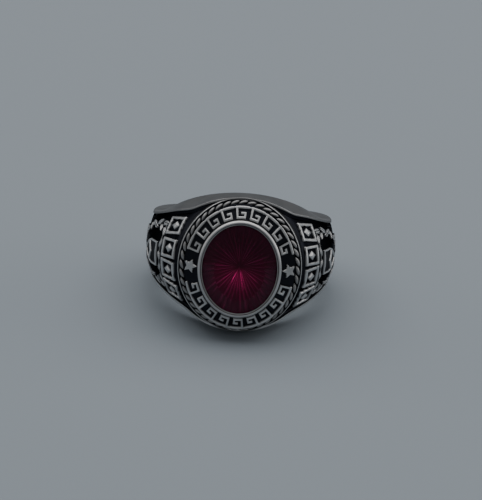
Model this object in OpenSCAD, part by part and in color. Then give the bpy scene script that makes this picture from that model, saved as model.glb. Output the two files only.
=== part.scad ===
// A man's class ring of antiqued silver with an oval stone, lying on its side.
// The ring's own frame has its origin at the finger hole's centre, the finger along Z and the head at -Y.
// The head's frame has x across the ring, y along the finger and z outwards, from the same origin.

/* [Finger hole and shank] */
// Radius of the finger hole
hole_r = 9.9; // [8:0.1:11.5]
// Thickness of the shank at the middle of its back
back_wall = 1.9; // [1.5:0.1:3]
// Thickness of the shank's middle beside the finger
side_wall = 2.7; // [2.2:0.1:3.5]
// Width of the shank at its back
back_w = 6.2; // [4.5:0.1:7.5]
// Width of the shank beside the finger
side_w = 8.3; // [7:0.1:10]
// Thickness at the edges of the shank's back
back_edge_wall = 1.4; // [1:0.1:1.8]
// Thickness at the edges beside the finger
side_edge_wall = 2.2; // [1.4:0.1:2.4]
// Chamfer along the shank's edges
edge = 0.25; // [0.1:0.05:0.4]

/* [Platform and shoulders] */
// Thickness of the metal from the finger hole up to the head's platform
platform_wall = 3.7; // [3.4:0.1:4.5]
// Height of the rope border above the platform at the head's two sides
rope_rise = 1.45; // [1:0.05:1.8]
// Thickness at the head's lower and upper edges
head_edge_wall = 3.5; // [3:0.1:3.7]
// Width of the platform where it meets the shoulders
corner_w = 14; // [12:0.1:15]
// Margin of the platform outside the rope border
platform_margin = 0.06; // [0.03:0.01:0.3]
// Width of the polished rim along both edges
rim = 0.3; // [0.25:0.05:0.6]
// Width of the sunk channel inside each rim
channel_w = 0.55; // [0.2:0.05:0.8]
// Depth of the channels below the rims
channel_depth = 0.4; // [0.2:0.05:0.6]
// Angle round the finger at which the raised panels end
panel_end = 102; // [96:1:120]

/* [Stone] */
// Width of the stone across the ring
stone_w = 10.2; // [8:0.1:11]
// Length of the stone along the finger
stone_l = 12.2; // [9:0.1:13]
// Height of the stone's crown
crown_h = 1.3; // [0.8:0.1:2]
// Thickness of the stone's girdle
girdle_h = 0.35; // [0.2:0.05:0.6]
// Depth of the stone's pavilion
pavilion_h = 3.2; // [1.8:0.1:3.6]
// Share of the stone that its table takes
table_share = 0.66; // [0.5:0.01:0.75]
// Rays cut round the pavilion
rays = 40; // [24:2:56]

/* [Bezel and band] */
// Clearance between the stone and its seat
stone_gap = 0.05; // [0.03:0.01:0.12]
// Thickness of the bezel outside the stone
bezel_wall = 0.5; // [0.3:0.05:0.8]
// How far the bezel's lip covers the stone's edge
lip = 0.17; // [0.1:0.01:0.25]
// Height of the bezel above the ornament band
bezel_h = 0.7; // [0.6:0.05:1.2]
// Width of the sloping ornament band, seen from above
band_run = 1.62; // [1.3:0.02:2]
// Rise of the ornament band at the head's two sides
band_rise = 0.75; // [0.5:0.05:1.2]
// How much wider the band is at the head's two sides
side_run = 0.18; // [0:0.02:0.4]
// How much wider the band's foot is at its ends, along the finger
end_run = 0.12; // [0:0.02:0.3]
// How much lower the rope lies at its ends, along the finger
arch_drop = 1.5; // [0.8:0.05:1.8]
// Share of that drop that the band's foot takes
foot_share = 0.18; // [0:0.02:1]
// Radius of the rope border
rope_r = 0.4; // [0.3:0.01:0.5]
// Strands that show round the rope
rope_beads = 44; // [36:2:60]
// Gap between the rope's widest places and the ridge outside it
rope_gap = 0.02; // [0.01:0.01:0.1]
// Width of the plain ridge outside the rope
ridge_w = 0.15; // [0.1:0.01:0.3]

/* [Relief] */
// Height of the raised ornament above its ground
relief_h = 0.3; // [0.15:0.01:0.5]
// Keys of the fret in each arc of the band
keys = 9; // [7:1:10]
// Width of the fret's bars
bar_w = 0.32; // [0.18:0.01:0.35]
// Radius of the stars on the band
star_r = 0.94; // [0.6:0.02:1]
// Height of the framed lozenges on the shoulders, round the ring
rosette_h = 3.3; // [2:0.1:3.6]
// Width of the framed lozenges on the shoulders, along the finger
rosette_w = 2.6; // [1.4:0.05:2.8]
// Width of the bars of the lozenges' frames
frame_w = 0.42; // [0.2:0.02:0.5]
// Height of the plain shield on the side panels
shield_h = 4.6; // [3:0.1:5.5]
// Length of the laurel leaves on the side panels
leaf_l = 1.7; // [1:0.1:2.2]

/* [Hidden] */
silver = [0.62, 0.62, 0.6];
ruby = [0.45, 0.05, 0.16];
sink = 0.3;
// How far the skin reaches into the finger hole before it is bored, and the cuts past the metal.
spare = 0.5;
// Step between the points of the channel's floor, where it has run out into the plain shank.
floor_step = 0.02;
// Half width of the stone's seat at its foot.
seat_foot = 0.35;

// Heights above the finger's axis, up through the head. The rope follows an arch, the band's foot a flat one.
platform_z = hole_r + platform_wall;
rope_z = platform_z + rope_rise;
band_foot_z = rope_z + 0.5 * rope_r;
band_top_z = band_foot_z + band_rise;
bezel_top_z = band_top_z + bezel_h;
lip_h = lip * crown_h / (stone_w / 2 * (1 - table_share));
girdle_top_z = bezel_top_z - bezel_wall / 3 - lip_h;
table_z = girdle_top_z + crown_h;
girdle_foot_z = girdle_top_z - girdle_h;
culet_z = girdle_foot_z - pavilion_h;

// Half sizes of the head's ovals, as [across the ring, along the finger].
stone_oval = [stone_w / 2, stone_l / 2];
bezel_oval = grown(stone_oval, stone_gap + bezel_wall);
band_oval = grown(bezel_oval, band_run) + [side_run, 0];
rope_oval = grown(band_oval, 0.8 * rope_r - rope_gap);
ridge_oval = grown(band_oval, 1.8 * rope_r + ridge_w);
head_half_w = ridge_oval[1] + platform_margin;
platform_half = ridge_oval[0] + platform_margin;

// The shoulder starts at the platform's corner and ends beside the finger, at 90 degrees.
corner_angle = atan2(platform_half, platform_z);
corner_r = norm([platform_half, platform_z]);

// Sections of the platform, by share of the corner's angle from the head's middle.
// The edge column goes from the side's edge wall to the head's.
// The width column goes from the corner's width to the head's.
SHARE = 0;
EDGE = 1;
WIDTH = 2;
MIDDLE = 3;
PLATFORM = [
    [0, 1, 1], [0.2, 1.05, 0.94], [0.4, 1.1, 0.83], [0.6, 1.15, 0.61], [0.8, 1.1, 0.31], [1, 0.8, 0]
];
// Sections of the shoulder, by share of the angle from the corner to the side of the finger.
// The edge column is as above, the width and middle columns go from the corner's size to the side's.
SHOULDER = [
    [0, 0.8, 0, 0], [0.1, 0.5, 0.12, 0.17], [0.2, 0.3, 0.23, 0.32], [0.3, 0.17, 0.35, 0.45],
    [0.42, 0.07, 0.5, 0.58], [0.6, 0, 0.7, 0.76], [0.78, 0, 0.87, 0.9], [1, 0, 1, 1]
];

// Half width at the finger hole, by share of the angle from the head's middle to the side of the finger.
// The width column goes from the side's to the head's: the side walls flare a little towards the finger.
HOLE_WIDTH = 1;
HOLE_EDGE = [
    [0, 1], [0.13, 0.96], [0.26, 0.88], [0.38, 0.76], [0.54, 0.58], [0.66, 0.43], [0.82, 0.2], [1, 0]
];

// Steps of the ring's skin over the platform, the shoulders, the panel's end and the shank, for one half.
platform_steps = 7;
shoulder_steps = 14;
panel_end_steps = 3;
shank_steps = 11;
oval_steps = 72;
rope_steps_per_bead = 4;
rope_sides = 8;

function grown(oval, by) = [oval[0] + by, oval[1] + by];
function mix(a, b, t) = a + (b - a) * t;
function smooth(t) = t <= 0 ? 0 : t >= 1 ? 1 : t * t * (3 - 2 * t);
function read(table, column, share) = lookup(share, [for (row = table) [row[SHARE], row[column]]]);
function shoulder_share(a) = (a - corner_angle) / (90 - corner_angle);
function back_share(a) = smooth((a - 90) / 90);

// Radius of the ring's skin along its middle and along its edges, at an angle from the head.
function middle_r(a) =
    a < corner_angle ? platform_z / cos(a)
    : a < 90 ? mix(corner_r, hole_r + side_wall, read(SHOULDER, MIDDLE, shoulder_share(a)))
    : hole_r + mix(side_wall, back_wall, back_share(a));
function edge_r(a) =
    hole_r + (
        a < corner_angle ? mix(side_edge_wall, head_edge_wall, read(PLATFORM, EDGE, a / corner_angle))
        : a < 90 ? mix(side_edge_wall, head_edge_wall, read(SHOULDER, EDGE, shoulder_share(a)))
        : mix(side_edge_wall, back_edge_wall, back_share(a))
    );
// Half width of the ring at an angle from the head.
function half_w(a) =
    a < corner_angle ? mix(corner_w / 2, head_half_w, read(PLATFORM, WIDTH, a / corner_angle))
    : a < 90 ? mix(corner_w, side_w, read(SHOULDER, WIDTH, shoulder_share(a))) / 2
    : mix(side_w, back_w, back_share(a)) / 2;

// Half width at the finger hole.
function hole_half_w(a) =
    a > 90 ? half_w(a) : mix(side_w / 2, head_half_w, read(HOLE_EDGE, HOLE_WIDTH, a / 90));

// The raised panel between the channels: its share that is left, its half width, and its crowned surface.
function panel_on(a) = smooth((panel_end - a) / 6);
function panel_half(a) = half_w(a) - mix(2 * edge, rim + channel_w, panel_on(a));
function panel_fall(a) = (middle_r(a) - edge_r(a)) * mix(0.9, 0.96, panel_on(a));
function panel_r(a, along) = middle_r(a) - panel_fall(a) * pow(along / panel_half(a), 2);

// Half of the skin's outline in the plane through the finger's axis, as [radius, place along the finger].
function half_section(a) =
    let (
        w = half_w(a), r = edge_r(a), p = panel_half(a), on = panel_on(a),
        floor_r = r - channel_depth * on,
        channel = w - mix(1.3 * edge, rim, on)
    )
    [
        [hole_r - spare, hole_half_w(a) - edge - spare],
        [hole_r + edge, hole_half_w(a)],
        [r - edge, w],
        [r, w - edge],
        [mix(r, panel_r(a, channel), 1 - on), channel],
        [floor_r + floor_step * (1 - on), mix(channel, p, 0.2)],
        [floor_r + 2 * floor_step * (1 - on), mix(channel, p, 0.85)],
        [panel_r(a, p), p],
        [panel_r(a, p * 0.72), p * 0.72],
        [panel_r(a, p * 0.38), p * 0.38]
    ];
function section(a) =
    let (h = half_section(a))
    concat([for (p = h) [p[0], -p[1]]], [[middle_r(a), 0]], [for (i = [len(h) - 1:-1:0]) h[i]]);

// Angles of the stations from the head round to the back.
half_angles = concat(
    [for (i = [0:platform_steps - 1]) mix(0, corner_angle, i / platform_steps)],
    [for (i = [0:shoulder_steps - 1]) mix(corner_angle, panel_end - 6, i / shoulder_steps)],
    [for (i = [0:panel_end_steps - 1]) mix(panel_end - 6, panel_end, i / panel_end_steps)],
    [for (i = [0:shank_steps]) mix(panel_end, 180, i / shank_steps)]
);
ring_angles = concat(half_angles, [for (i = [len(half_angles) - 2:-1:1]) -half_angles[i]]);

// Rest: the head's lower edge and the back's lower edge both touch the surface.
back_r = edge_r(180) - edge;
head_r = hole_r + edge;
rest_tilt = atan2(head_half_w - back_w / 2, head_r + back_r);
rest_rise = head_half_w * cos(rest_tilt) - head_r * sin(rest_tilt);
front_reach = table_z * cos(rest_tilt) + stone_l / 2 * table_share * sin(rest_tilt);
back_reach = edge_r(180) * cos(rest_tilt) + (back_w / 2 - edge) * sin(rest_tilt);
centre_shift = (front_reach - back_reach) / 2;

module lay_down() {
    translate([0, centre_shift, rest_rise]) rotate([-rest_tilt, 0, 0]) children();
}

module head_frame() {
    rotate([90, 0, 0]) children();
}

// A closed skin through rings of points. The last ring joins the first when wrapped, and is capped otherwise.
module skin(rings, wrapped = false) {
    n = len(rings[0]);
    m = len(rings);
    last = wrapped ? m - 1 : m - 2;
    walls = [
        for (i = [0:last]) for (j = [0:n - 1])
            let (a = i * n + j, b = i * n + (j + 1) % n, c = ((i + 1) % m) * n)
            each [[a, b, c + (j + 1) % n], [a, c + (j + 1) % n, c + j]]
    ];
    caps = wrapped ? [] : [[for (j = [n - 1:-1:0]) j], [for (j = [0:n - 1]) (m - 1) * n + j]];
    polyhedron(points = [for (r = rings) each r], faces = concat(walls, caps), convexity = 6);
}

function arch(t) = -arch_drop * pow(sin(t), 2);
function band_climb(t) = band_rise - foot_share * arch(t);
function band_width(t) = band_run + side_run * pow(cos(t), 2) + end_run * pow(sin(t), 2);
function oval_ring(oval, z, arched = 0) = [
    for (j = [0:oval_steps - 1])
        let (t = -360 * j / oval_steps)
        [oval[0] * cos(t), oval[1] * sin(t), z + arched * arch(t)]
];

// A solid through ovals from its foot up, given as [growth from the base oval, height, share of the arch,
// more growth at the sides, more growth at the ends].
module oval_loft(rows, base) {
    skin([for (r = rows) oval_ring(grown(base, r[0]) + [r[3], r[4]], r[1], r[2])]);
}

module shank_and_shoulders() {
    skin(
        [for (a = ring_angles)
            [for (p = section(abs(a))) [p[0] * sin(a), -p[0] * cos(a), p[1]]]],
        wrapped = true
    );
}

// The head's core: the ridge, the rope's seat, the sloping band and the bezel.
module head_core() {
    outer = band_run + 1.8 * rope_r + ridge_w;
    oval_loft([
        [outer, platform_z - head_edge_wall / 2, 0, side_run, 0],
        [outer, rope_z - 0.3 * rope_r, 1, side_run, 0],
        [outer - ridge_w, rope_z - 0.3 * rope_r, 1, side_run, 0],
        [outer - ridge_w, rope_z - 0.7 * rope_r, 1, side_run, 0],
        [band_run, rope_z - 0.7 * rope_r, 1, side_run, end_run],
        [band_run, band_foot_z, foot_share, side_run, end_run],
        [0, band_top_z, 0, 0, 0],
        [0, bezel_top_z - bezel_wall / 2, 0, 0, 0],
        [-bezel_wall / 5, bezel_top_z - bezel_wall / 8, 0, 0, 0],
        [-bezel_wall / 2, bezel_top_z, 0, 0, 0]
    ], bezel_oval);
}

// Two strands twisted round the oval, so that their backs show as a row of slanting beads.
module rope() {
    steps = rope_beads * rope_steps_per_bead;
    skin([
        for (i = [0:steps - 1])
            let (
                t = 360 * i / steps,
                across = oval_normal(rope_oval, t),
                centre = [rope_oval[0] * cos(t), rope_oval[1] * sin(t)]
            )
            [for (j = [0:rope_sides - 1])
                let (
                    turn = 360 * j / rope_sides,
                    r = rope_r * (0.84 + 0.16 * cos(2 * turn - rope_beads * t)),
                    p = centre + across * (r * cos(turn))
                )
                [p[0], p[1], rope_z + arch(t) + r * sin(turn)]]
    ], wrapped = true);
}

function oval_normal(oval, t) =
    let (v = [cos(t) / oval[0], sin(t) / oval[1]]) v / norm(v);

// Places children on the band at an oval angle: x along the band, y up its slope and z out of it.
module on_band(t) {
    mid = grown(bezel_oval, band_run / 2) + [side_run, end_run] / 2;
    out = oval_normal(mid, t);
    translate([mid[0] * cos(t), mid[1] * sin(t), band_top_z - band_climb(t) / 2])
        rotate([0, 0, atan2(out[1], out[0]) + 90])
        rotate([atan2(band_climb(t), band_width(t)), 0, 0])
        children();
}

// Places children on a shoulder's panel: x round the ring, y along the finger and z out of the panel.
module on_shoulder(a, along) {
    r = panel_r(a, along);
    step = middle_r(a + 1) * [sin(a + 1), -cos(a + 1)] - middle_r(a - 1) * [sin(a - 1), -cos(a - 1)];
    fall = -2 * panel_fall(a) * along / pow(panel_half(a), 2);
    translate([r * sin(a), -r * cos(a), along])
        rotate([0, 0, atan2(step[1], step[0])])
        rotate([90 + atan(fall), 0, 0])
        children();
}

module raised(h = relief_h) {
    translate([0, 0, -sink]) linear_extrude(sink + h) children();
}

module star_shape() {
    inner = star_r * 0.42;
    polygon([for (i = [0:9]) (i % 2 == 0 ? star_r : inner) * [cos(90 + 36 * i), sin(90 + 36 * i)]]);
}

// One key of a fret: a square spiral of even bars, w wide and h high.
module key_shape(w, h) {
    b = bar_w;
    translate([-w / 2, -h / 2]) polygon([
        [0, 0], [w, 0], [w, b], [b, b], [b, h - b], [w - 2 * b, h - b], [w - 2 * b, 3.4 * b],
        [2.1 * b, 3.4 * b], [2.1 * b, 2.4 * b], [w - b, 2.4 * b], [w - b, h], [0, h]
    ]);
}

// The fret fills each arc between the stars; its keys follow the band's slope and length.
function key_h(t) = norm([band_width(t), band_climb(t)]) * 0.92;
star_span = 14;
fret_step = (180 - 2 * star_span) / keys;
key_w = fret_step * PI / 180 * (bezel_oval[0] + bezel_oval[1] + band_run) / 2 * 0.84;

module band_relief() {
    for (side = [0, 180]) {
        on_band(side) raised() star_shape();
        for (i = [0:keys - 1])
            let (t = side + 90 + (i - (keys - 1) / 2) * fret_step)
            on_band(t) raised() key_shape(key_w, key_h(t));
    }
}

// A frame round a lozenge, tall round the ring and narrow along the finger.
module rosette_shape() {
    difference() {
        square([rosette_h, rosette_w], center = true);
        square([rosette_h - 2 * frame_w, rosette_w - 2 * frame_w], center = true);
    }
    scale_h = rosette_h * 0.29;
    scale_w = rosette_w * 0.26;
    polygon([[-scale_h, 0], [0, -scale_w], [scale_h, 0], [0, scale_w]]);
}

module shield_shape() {
    w = shield_h * 0.72;
    polygon([
        [-shield_h * 0.5, -w * 0.5], [-shield_h * 0.5, w * 0.5], [0, w * 0.5], [shield_h * 0.2, w * 0.41],
        [shield_h * 0.37, w * 0.22], [shield_h * 0.5, 0], [shield_h * 0.37, -w * 0.22],
        [shield_h * 0.2, -w * 0.41], [0, -w * 0.5]
    ]);
}

module leaf_shape() {
    w = leaf_l * 0.4;
    polygon([
        [-leaf_l / 2, 0], [-leaf_l / 4, w * 0.42], [leaf_l * 0.05, w * 0.5], [leaf_l * 0.3, w * 0.3],
        [leaf_l / 2, 0], [leaf_l * 0.3, -w * 0.3], [leaf_l * 0.05, -w * 0.5], [-leaf_l / 4, -w * 0.42]
    ]);
}

rosette_angle = corner_angle + 7.2;
shield_angle = corner_angle + 29;
// Laurel leaves of one spray, as [degrees round the ring from the shield, share of the half panel, turn].
LEAVES = [[-11, 0.8, 12], [-3, 0.84, -22], [6, 0.82, 20], [15, 0.6, -24], [23, 0.62, 12]];

module shoulder_relief() {
    row_step = panel_half(rosette_angle) / 2;
    for (i = [-1.5:1:1.5])
        on_shoulder(rosette_angle, i * row_step) raised() rosette_shape();
    on_shoulder(shield_angle, 0) raised() shield_shape();
    for (leaf = LEAVES) for (side = [-1, 1])
        on_shoulder(shield_angle + leaf[0], side * leaf[1] * panel_half(shield_angle + leaf[0]))
            raised(relief_h * 0.8) rotate(side * leaf[2]) leaf_shape();
}

module finger_hole() {
    reach = head_half_w + spare;
    translate([0, 0, -reach]) cylinder(h = 2 * reach, r = hole_r, $fn = 128);
}

// The stone's seat: its own outline with the clearance all round, open above the lip.
module stone_seat() {
    open = stone_gap - lip;
    oval_loft([
        [seat_foot - stone_w / 2, culet_z - stone_gap, 0, 0, 0],
        [stone_gap, girdle_foot_z - stone_gap, 0, 0, 0],
        [stone_gap, girdle_top_z, 0, 0, 0],
        [open, girdle_top_z + lip_h, 0, 0, 0],
        [open, table_z + spare, 0, 0, 0]
    ], stone_oval);
}

module ring_body() {
    color(silver) lay_down() difference() {
        union() {
            shank_and_shoulders();
            head_frame() {
                head_core();
                rope();
                band_relief();
            }
            shoulder_relief();
            mirror([1, 0, 0]) shoulder_relief();
        }
        finger_hole();
        head_frame() stone_seat();
    }
}

function gem_ring(share, z, ridge_drop = 0) = [
    for (j = [0:2 * rays - 1])
        let (t = -180 * j / rays)
        [share * stone_oval[0] * cos(t), share * stone_oval[1] * sin(t), z - (j % 2) * ridge_drop]
];

module stone() {
    color(ruby) lay_down() head_frame()
        skin([
            gem_ring(0.04, culet_z),
            gem_ring(1, girdle_foot_z, -girdle_h / 3),
            gem_ring(1, girdle_top_z),
            gem_ring(table_share, table_z)
        ]);
}

ring_body();
stone();
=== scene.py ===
"""A man's class ring of antiqued silver with an oval dark red stone, lying on its side.

The ring's own frame has its origin at the finger hole's centre, the finger along z and the head towards -y.
The head's frame has x across the ring, y along the finger and z outwards, from the same origin.
Lengths are millimetres until a mesh is made, which is in metres.
"""

import logging
import math
from dataclasses import dataclass, field
from enum import Enum
from typing import Callable

import bpy
import numpy as np
from mathutils import Matrix


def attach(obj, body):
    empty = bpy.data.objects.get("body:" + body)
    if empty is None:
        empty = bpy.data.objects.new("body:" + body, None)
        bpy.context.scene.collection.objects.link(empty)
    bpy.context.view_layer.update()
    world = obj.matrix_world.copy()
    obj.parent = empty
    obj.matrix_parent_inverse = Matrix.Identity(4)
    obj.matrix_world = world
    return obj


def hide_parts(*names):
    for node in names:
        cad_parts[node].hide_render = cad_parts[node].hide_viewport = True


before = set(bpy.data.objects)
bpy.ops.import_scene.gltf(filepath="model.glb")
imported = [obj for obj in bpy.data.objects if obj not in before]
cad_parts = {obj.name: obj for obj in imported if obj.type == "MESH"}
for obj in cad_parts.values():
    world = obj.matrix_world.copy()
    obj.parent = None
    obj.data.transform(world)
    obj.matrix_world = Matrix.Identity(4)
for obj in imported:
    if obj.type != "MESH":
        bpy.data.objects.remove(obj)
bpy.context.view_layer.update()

LOG = logging.getLogger("class_ring")
MM = 0.001
# The point attributes that the finishes read.
DARK = "dark"
RAY = "ray"
# Places where a bell curve is read, in its own widths.
BELL = np.linspace(-2.5, 2.5, 21)

Values = float | np.ndarray
Colour = tuple[float, float, float]
Row = tuple[float, float, float, float, float]
Source = bpy.types.NodeSocket | Colour | float


# Plain mathematics

def mix(low: Values, high: Values, share: Values) -> Values:
    """The value that lies share of the way from low to high."""
    return low + (high - low) * share


def smooth(t: Values) -> Values:
    """A soft step: 0 below 0, 1 above 1, and 3 t squared minus 2 t cubed between."""
    t = np.clip(t, 0.0, 1.0)
    return t * t * (3.0 - 2.0 * t)


def flowing(x: np.ndarray, knots: np.ndarray, values: np.ndarray) -> np.ndarray:
    """A smooth curve through a table: cubic pieces that share their slope at each knot.

    Args:
        x: Where the curve is read.
        knots: Places of the table's rows, rising.
        values: Values of the table's rows.

    Returns:
        The curve's values at x.
    """
    slope = np.gradient(values, knots)
    slope[[0, -1]] = 0.0
    i = np.clip(np.searchsorted(knots, x, side="right") - 1, 0, len(knots) - 2)
    span = knots[i + 1] - knots[i]
    t = (x - knots[i]) / span
    return (
        values[i] * (1 + 2 * t) * (1 - t) ** 2
        + slope[i] * span * t * (1 - t) ** 2
        + values[i + 1] * t * t * (3 - 2 * t)
        + slope[i + 1] * span * t * t * (t - 1)
    )


def softened(x: np.ndarray, reach: float, curve: Callable[[np.ndarray], np.ndarray]) -> np.ndarray:
    """A curve round the ring without its small waves: a bell-weighted mean of readings near each place.

    Args:
        x: Where the curve is read, in degrees from the head to the back.
        reach: Width of the bell, in degrees.
        curve: The curve, from 0 to 180 degrees.

    Returns:
        The mean values at x.
    """
    weights = np.exp(-(BELL ** 2)) / np.exp(-(BELL ** 2)).sum()
    near = np.abs(x[..., None] + BELL * reach)
    return curve(np.where(near > 180, 360 - near, near)) @ weights


def inside_depth(x: np.ndarray, y: np.ndarray, corners: np.ndarray) -> np.ndarray:
    """Distance to a polygon's outline: positive inside it and negative outside.

    The distance is to the nearest of its sides, and the sign comes from how often a ray to the right
    crosses them.

    Args:
        x: First coordinate of each point.
        y: Second coordinate of each point.
        corners: The polygon's corners, one a row.

    Returns:
        The signed distance at each point.
    """
    px, py = x.reshape(-1, 1), y.reshape(-1, 1)
    ax, ay = corners[:, 0], corners[:, 1]
    bx, by = np.roll(ax, -1), np.roll(ay, -1)
    ex, ey = bx - ax, by - ay
    t = np.clip(((px - ax) * ex + (py - ay) * ey) / (ex * ex + ey * ey), 0.0, 1.0)
    nearest = np.sqrt(np.min((px - ax - t * ex) ** 2 + (py - ay - t * ey) ** 2, axis=1))
    with np.errstate(divide="ignore", invalid="ignore"):
        crossing = ((ay > py) != (by > py)) & (px < ex * (py - ay) / ey + ax)
    inside = np.count_nonzero(crossing, axis=1) % 2 == 1
    return np.where(inside, nearest, -nearest).reshape(x.shape)


def turned(x: Values, y: Values, degrees: float) -> tuple[Values, Values]:
    """Coordinates read in axes that are turned anticlockwise by some degrees."""
    c, s = math.cos(math.radians(degrees)), math.sin(math.radians(degrees))
    return x * c + y * s, y * c - x * s


# Sizes

# Sections of the platform: share of the corner's angle, share of the edge wall, share of the width.
PLATFORM = np.array([
    [0, 1, 1], [0.2, 1.05, 0.94], [0.4, 1.1, 0.83], [0.6, 1.15, 0.61], [0.8, 1.1, 0.31], [1, 0.8, 0],
])
# Sections of the shoulder: share of the angle from the corner to the side, edge wall, width, middle.
SHOULDER = np.array([
    [0, 0.8, 0, 0], [0.1, 0.5, 0.12, 0.17], [0.2, 0.3, 0.23, 0.32], [0.3, 0.17, 0.35, 0.45],
    [0.42, 0.07, 0.5, 0.58], [0.6, 0, 0.7, 0.76], [0.78, 0, 0.87, 0.9], [1, 0, 1, 1],
])
# Angles at which the plain shank's easing curve is read.
SHANK_ANGLES = np.array([100.0, 112.0, 124.0, 136.0, 148.0, 160.0, 170.0, 180.0])


@dataclass(frozen=True)
class RingSizes:
    """The ring's sizes in millimetres, and the curves that its casting follows.

    Angles run round the finger in degrees, from 0 at the head's middle to 180 at the back. Half of the
    star's span is left free of the fret on each side of the star. The turns are degrees from the platform's
    corner, the fade is the degrees in which the panels run out, and the reaches soften the curves. A panel
    falls by two shares of its rise, on the plain shank and between the channels. Its hollows turn black
    between the dark limits of the channels' depth.
    """

    hole_r: float = 9.9
    back_wall: float = 1.9
    side_wall: float = 2.7
    back_w: float = 6.2
    side_w: float = 8.3
    back_edge_wall: float = 1.4
    side_edge_wall: float = 2.2
    edge: float = 0.25
    platform_wall: float = 3.7
    rope_rise: float = 1.45
    head_edge_wall: float = 3.5
    corner_w: float = 14.0
    platform_margin: float = 0.06
    rim: float = 0.3
    channel_w: float = 0.55
    channel_depth: float = 0.4
    panel_end: float = 102.0
    stone_w: float = 10.2
    stone_l: float = 12.2
    crown_h: float = 1.3
    girdle_h: float = 0.35
    pavilion_h: float = 3.2
    table_share: float = 0.66
    rays: int = 40
    stone_gap: float = 0.05
    bezel_wall: float = 0.5
    lip: float = 0.17
    bezel_h: float = 0.7
    band_run: float = 1.62
    band_rise: float = 0.75
    side_run: float = 0.18
    end_run: float = 0.12
    arch_drop: float = 1.5
    foot_share: float = 0.18
    rope_r: float = 0.4
    rope_beads: int = 44
    rope_gap: float = 0.02
    ridge_w: float = 0.15
    relief_h: float = 0.3
    keys: int = 9
    bar_w: float = 0.32
    star_span: float = 14.0
    rosette_turn: float = 7.2
    shield_turn: float = 29.0
    panel_fade: float = 6.0
    panel_fall: tuple[float, float] = (0.9, 0.96)
    dark_limits: tuple[float, float] = (0.3, 0.65)
    wave_reach: float = 3.0
    swell_reach: float = 4.0
    swell_power: float = 1.3
    star_r: float = 0.94
    rosette_h: float = 3.3
    rosette_w: float = 2.6
    frame_w: float = 0.42
    shield_h: float = 4.6
    leaf_l: float = 1.7

    @property
    def platform_z(self) -> float:
        """Height of the head's platform above the finger's axis."""
        return self.hole_r + self.platform_wall

    @property
    def rope_z(self) -> float:
        """Height of the rope border at the head's two sides."""
        return self.platform_z + self.rope_rise

    @property
    def band_foot_z(self) -> float:
        """Height of the ornament band's foot at the head's two sides."""
        return self.rope_z + 0.5 * self.rope_r

    @property
    def band_top_z(self) -> float:
        """Height of the ornament band's upper edge."""
        return self.band_foot_z + self.band_rise

    @property
    def bezel_top_z(self) -> float:
        """Height of the bezel's rounded top."""
        return self.band_top_z + self.bezel_h

    @property
    def lip_h(self) -> float:
        """Height of the lip's inner edge above the stone's girdle."""
        return self.lip * self.crown_h / (self.stone_w / 2 * (1 - self.table_share))

    @property
    def girdle_top_z(self) -> float:
        """Height of the upper edge of the stone's girdle."""
        return self.bezel_top_z - self.bezel_wall / 3 - self.lip_h

    @property
    def girdle_foot_z(self) -> float:
        """Height of the lower edge of the stone's girdle."""
        return self.girdle_top_z - self.girdle_h

    @property
    def table_z(self) -> float:
        """Height of the stone's table."""
        return self.girdle_top_z + self.crown_h

    @property
    def culet_z(self) -> float:
        """Height of the stone's lowest point."""
        return self.girdle_foot_z - self.pavilion_h

    @property
    def stone_oval(self) -> np.ndarray:
        """Half sizes of the stone, across the ring and along the finger."""
        return np.array([self.stone_w / 2, self.stone_l / 2])

    @property
    def bezel_oval(self) -> np.ndarray:
        """Half sizes of the bezel's outer edge."""
        return self.stone_oval + self.stone_gap + self.bezel_wall

    @property
    def band_oval(self) -> np.ndarray:
        """Half sizes of the ornament band's foot."""
        return self.bezel_oval + self.band_run + np.array([self.side_run, 0.0])

    @property
    def rope_oval(self) -> np.ndarray:
        """Half sizes of the rope's centre line."""
        return self.band_oval + 0.8 * self.rope_r - self.rope_gap

    @property
    def ridge_oval(self) -> np.ndarray:
        """Half sizes of the thin ridge outside the rope."""
        return self.band_oval + 1.8 * self.rope_r + self.ridge_w

    @property
    def head_half_w(self) -> float:
        """Half width of the head along the finger."""
        return float(self.ridge_oval[1]) + self.platform_margin

    @property
    def corner_angle(self) -> float:
        """Angle round the finger at which the platform ends and the shoulder starts."""
        return math.degrees(math.atan2(float(self.ridge_oval[0]) + self.platform_margin, self.platform_z))

    @property
    def rosette_angle(self) -> float:
        """Angle of the row of framed lozenges."""
        return self.corner_angle + self.rosette_turn

    @property
    def shield_angle(self) -> float:
        """Angle of the shield in the middle of a side panel."""
        return self.corner_angle + self.shield_turn

    @property
    def rest_tilt(self) -> float:
        """Degrees by which the ring leans as it lies on its side."""
        reach = self.hole_r + self.edge + self.hole_r + self.back_edge_wall - self.edge
        return math.degrees(math.atan2(self.head_half_w - self.back_w / 2, reach))

    @property
    def rest_rise(self) -> float:
        """Height of the finger hole's centre above the surface."""
        t = math.radians(self.rest_tilt)
        return self.head_half_w * math.cos(t) - (self.hole_r + self.edge) * math.sin(t)

    @property
    def centre_shift(self) -> float:
        """Place of the finger hole's centre along the scene's y, with the whole ring centred on 0.

        Returns:
            The place in millimetres: half of how much further the front reaches than the back.
        """
        t = math.radians(self.rest_tilt)
        front = self.table_z * math.cos(t) + self.stone_l / 2 * self.table_share * math.sin(t)
        back_r = self.hole_r + self.back_edge_wall
        back = back_r * math.cos(t) + (self.back_w / 2 - self.edge) * math.sin(t)
        return (front - back) / 2

    def shoulder_angles(self) -> np.ndarray:
        """Angles of the shoulder table's rows."""
        return mix(self.corner_angle, 90.0, SHOULDER[:, 0])

    def back_share(self, angles: np.ndarray) -> np.ndarray:
        """How far the shank has eased from its side to its back."""
        return smooth((angles - 90) / 90)

    def knots(self) -> np.ndarray:
        """Angles of the rows of both tables and of the shank."""
        return np.concatenate([PLATFORM[:-1, 0] * self.corner_angle, self.shoulder_angles(), SHANK_ANGLES])

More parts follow.
